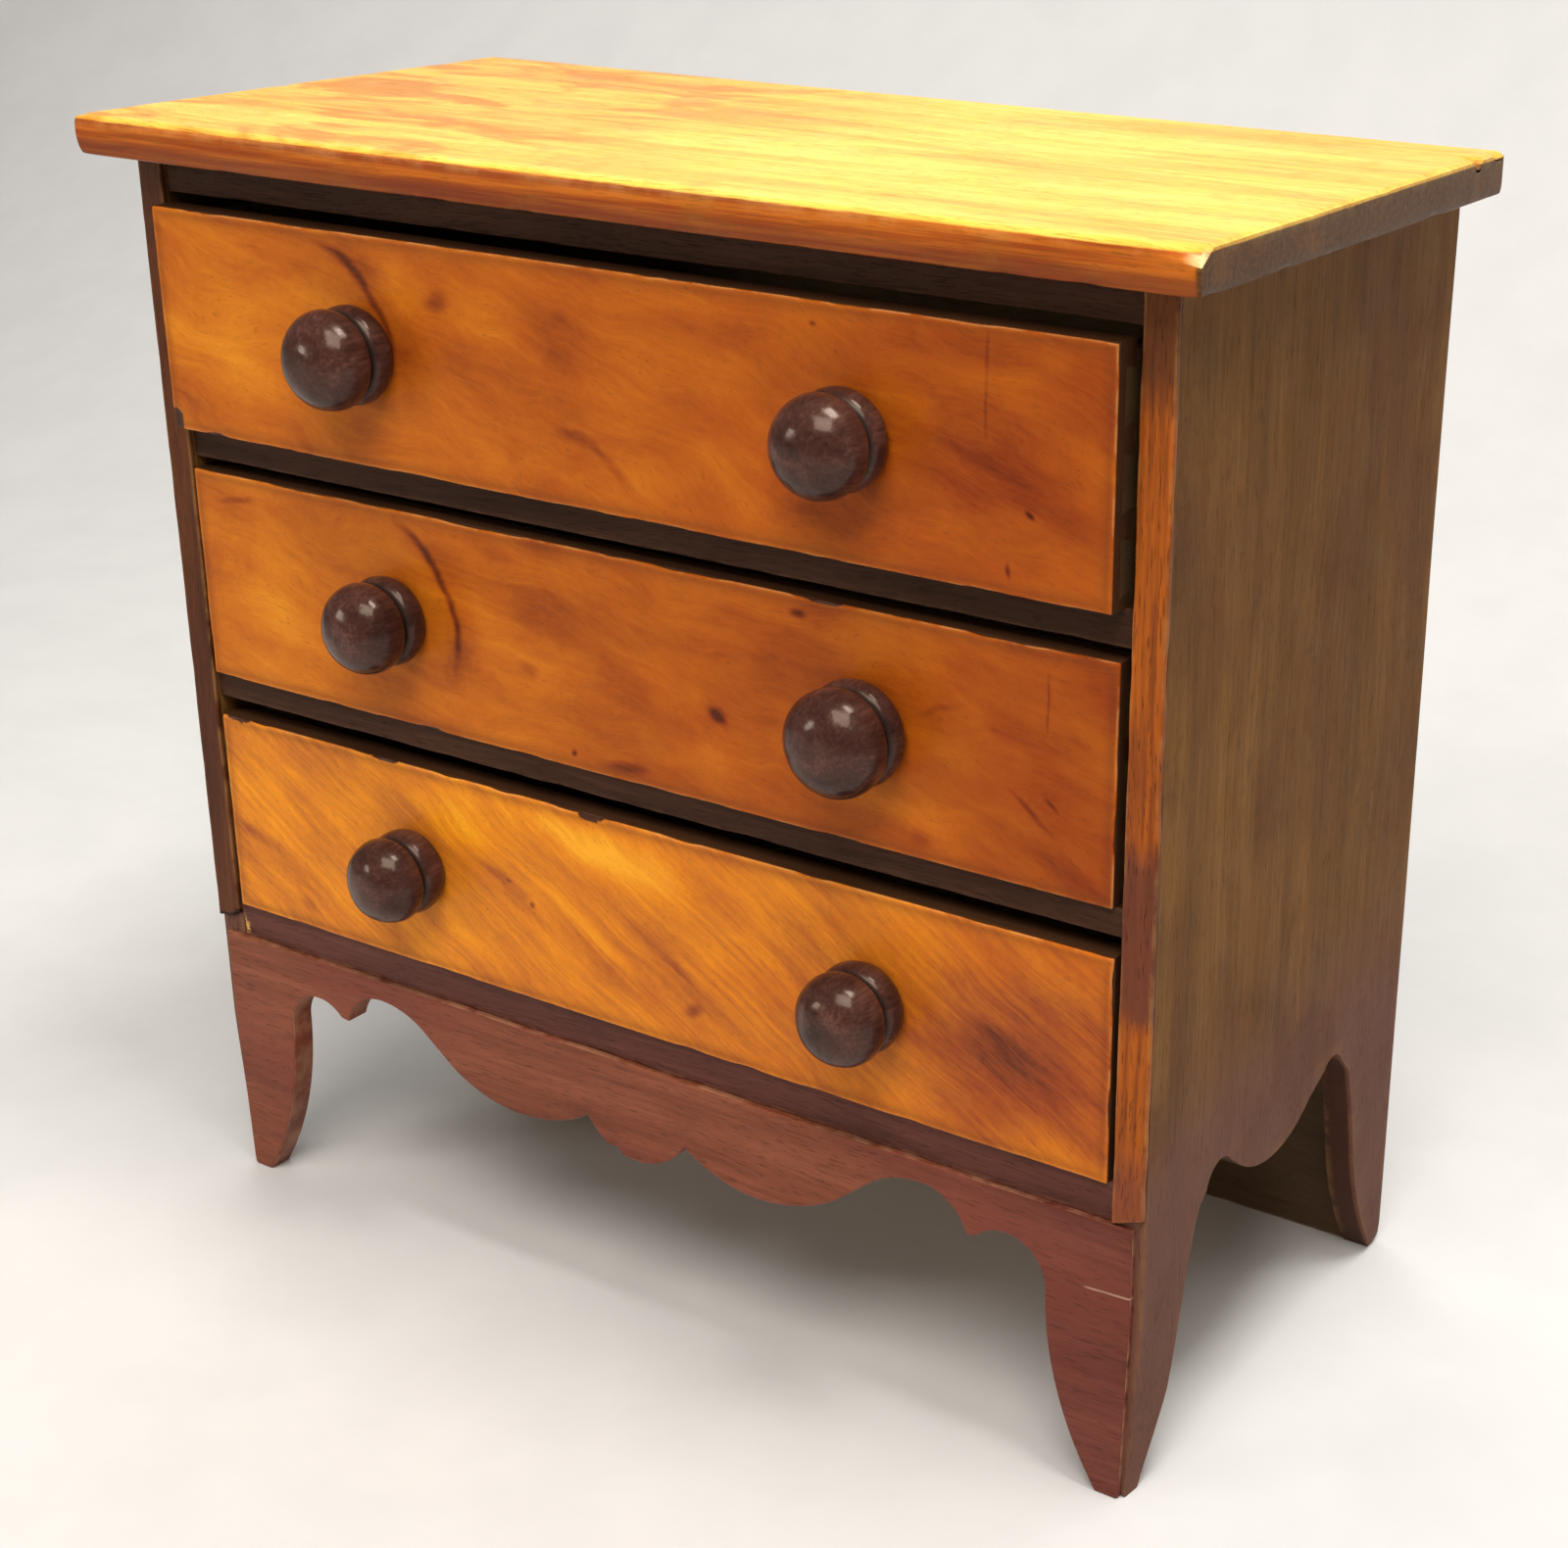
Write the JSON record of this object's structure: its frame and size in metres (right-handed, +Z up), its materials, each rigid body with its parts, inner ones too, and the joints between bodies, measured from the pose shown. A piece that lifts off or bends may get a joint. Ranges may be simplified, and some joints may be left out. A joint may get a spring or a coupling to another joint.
{
  "type": "miniature chest of drawers",
  "caption": "Small bow-footed wooden chest with full-width drawers, turned knobs, a scalloped apron and an overhanging top with a rounded edge.",
  "frame": {"origin": "on the floor, at the middle of the whole object's footprint, knobs included", "axes": "+X to the right seen from the front, +Y from the drawers to the back, +Z up"},
  "size_m": [0.302, 0.1574, 0.2845],
  "materials": {
    "top_wood": "polished, worn pale along the edge",
    "side_wood": "satin, dark, fine upright grain",
    "stile_wood": "satin, worn at the arris",
    "rail_wood": "satin, dark",
    "apron_wood": "satin, red-brown",
    "veneer_top": "polished, cloudy flame figure",
    "veneer_middle": "polished, cloudy flame figure",
    "veneer_bottom": "polished, slanting flame figure",
    "front_wood": "unpolished",
    "drawer_wood": "unpolished pale softwood",
    "inner_wood": "unpolished softwood",
    "back_wood": "unpolished, darkened",
    "knob_wood": "high polish",
    "brad_iron": "dull, rusty"
  },
  "bodies": {
    "carcass": {"top_board": "top_wood", "side_left": "side_wood", "side_right": "side_wood", "stile_left": "stile_wood", "stile_right": "stile_wood", "top_rail": "rail_wood", "divider_upper": "rail_wood", "divider_lower": "rail_wood", "bottom_rail": "rail_wood", "apron_board": "apron_wood", "glue_block_left": "inner_wood", "glue_block_right": "inner_wood", "bottom_board": "inner_wood", "back_panel": "back_wood", "back_brads": "brad_iron", "drawer_stops": "inner_wood", "runner_upper_left": "inner_wood", "runner_upper_right": "inner_wood", "runner_lower_left": "inner_wood", "runner_lower_right": "inner_wood", "kicker_left": "inner_wood", "kicker_right": "inner_wood"},
    "drawer_top": {"drawer_top_front": "front_wood", "drawer_top_veneer": "veneer_top", "drawer_top_side_left": "drawer_wood", "drawer_top_side_right": "drawer_wood", "drawer_top_back": "drawer_wood", "drawer_top_bottom": "drawer_wood", "drawer_top_knob_left": "knob_wood", "drawer_top_knob_right": "knob_wood"},
    "drawer_middle": {"drawer_middle_front": "front_wood", "drawer_middle_veneer": "veneer_middle", "drawer_middle_side_left": "drawer_wood", "drawer_middle_side_right": "drawer_wood", "drawer_middle_back": "drawer_wood", "drawer_middle_bottom": "drawer_wood", "drawer_middle_knob_left": "knob_wood", "drawer_middle_knob_right": "knob_wood"},
    "drawer_bottom": {"drawer_bottom_front": "front_wood", "drawer_bottom_veneer": "veneer_bottom", "drawer_bottom_side_left": "drawer_wood", "drawer_bottom_side_right": "drawer_wood", "drawer_bottom_back": "drawer_wood", "drawer_bottom_bottom": "drawer_wood", "drawer_bottom_knob_left": "knob_wood", "drawer_bottom_knob_right": "knob_wood"}
  },
  "joints": [
    {"name": "drawer_top_slide", "type": "slide", "parent": "carcass", "child": "drawer_top", "axis": [0, -1, 0], "range_m": [-0.0045, 0.0905]},
    {"name": "drawer_middle_slide", "type": "slide", "parent": "carcass", "child": "drawer_middle", "axis": [0, -1, 0], "range_m": [0, 0.095]},
    {"name": "drawer_bottom_slide", "type": "slide", "parent": "carcass", "child": "drawer_bottom", "axis": [0, -1, 0], "range_m": [0, 0.095]}
  ]
}
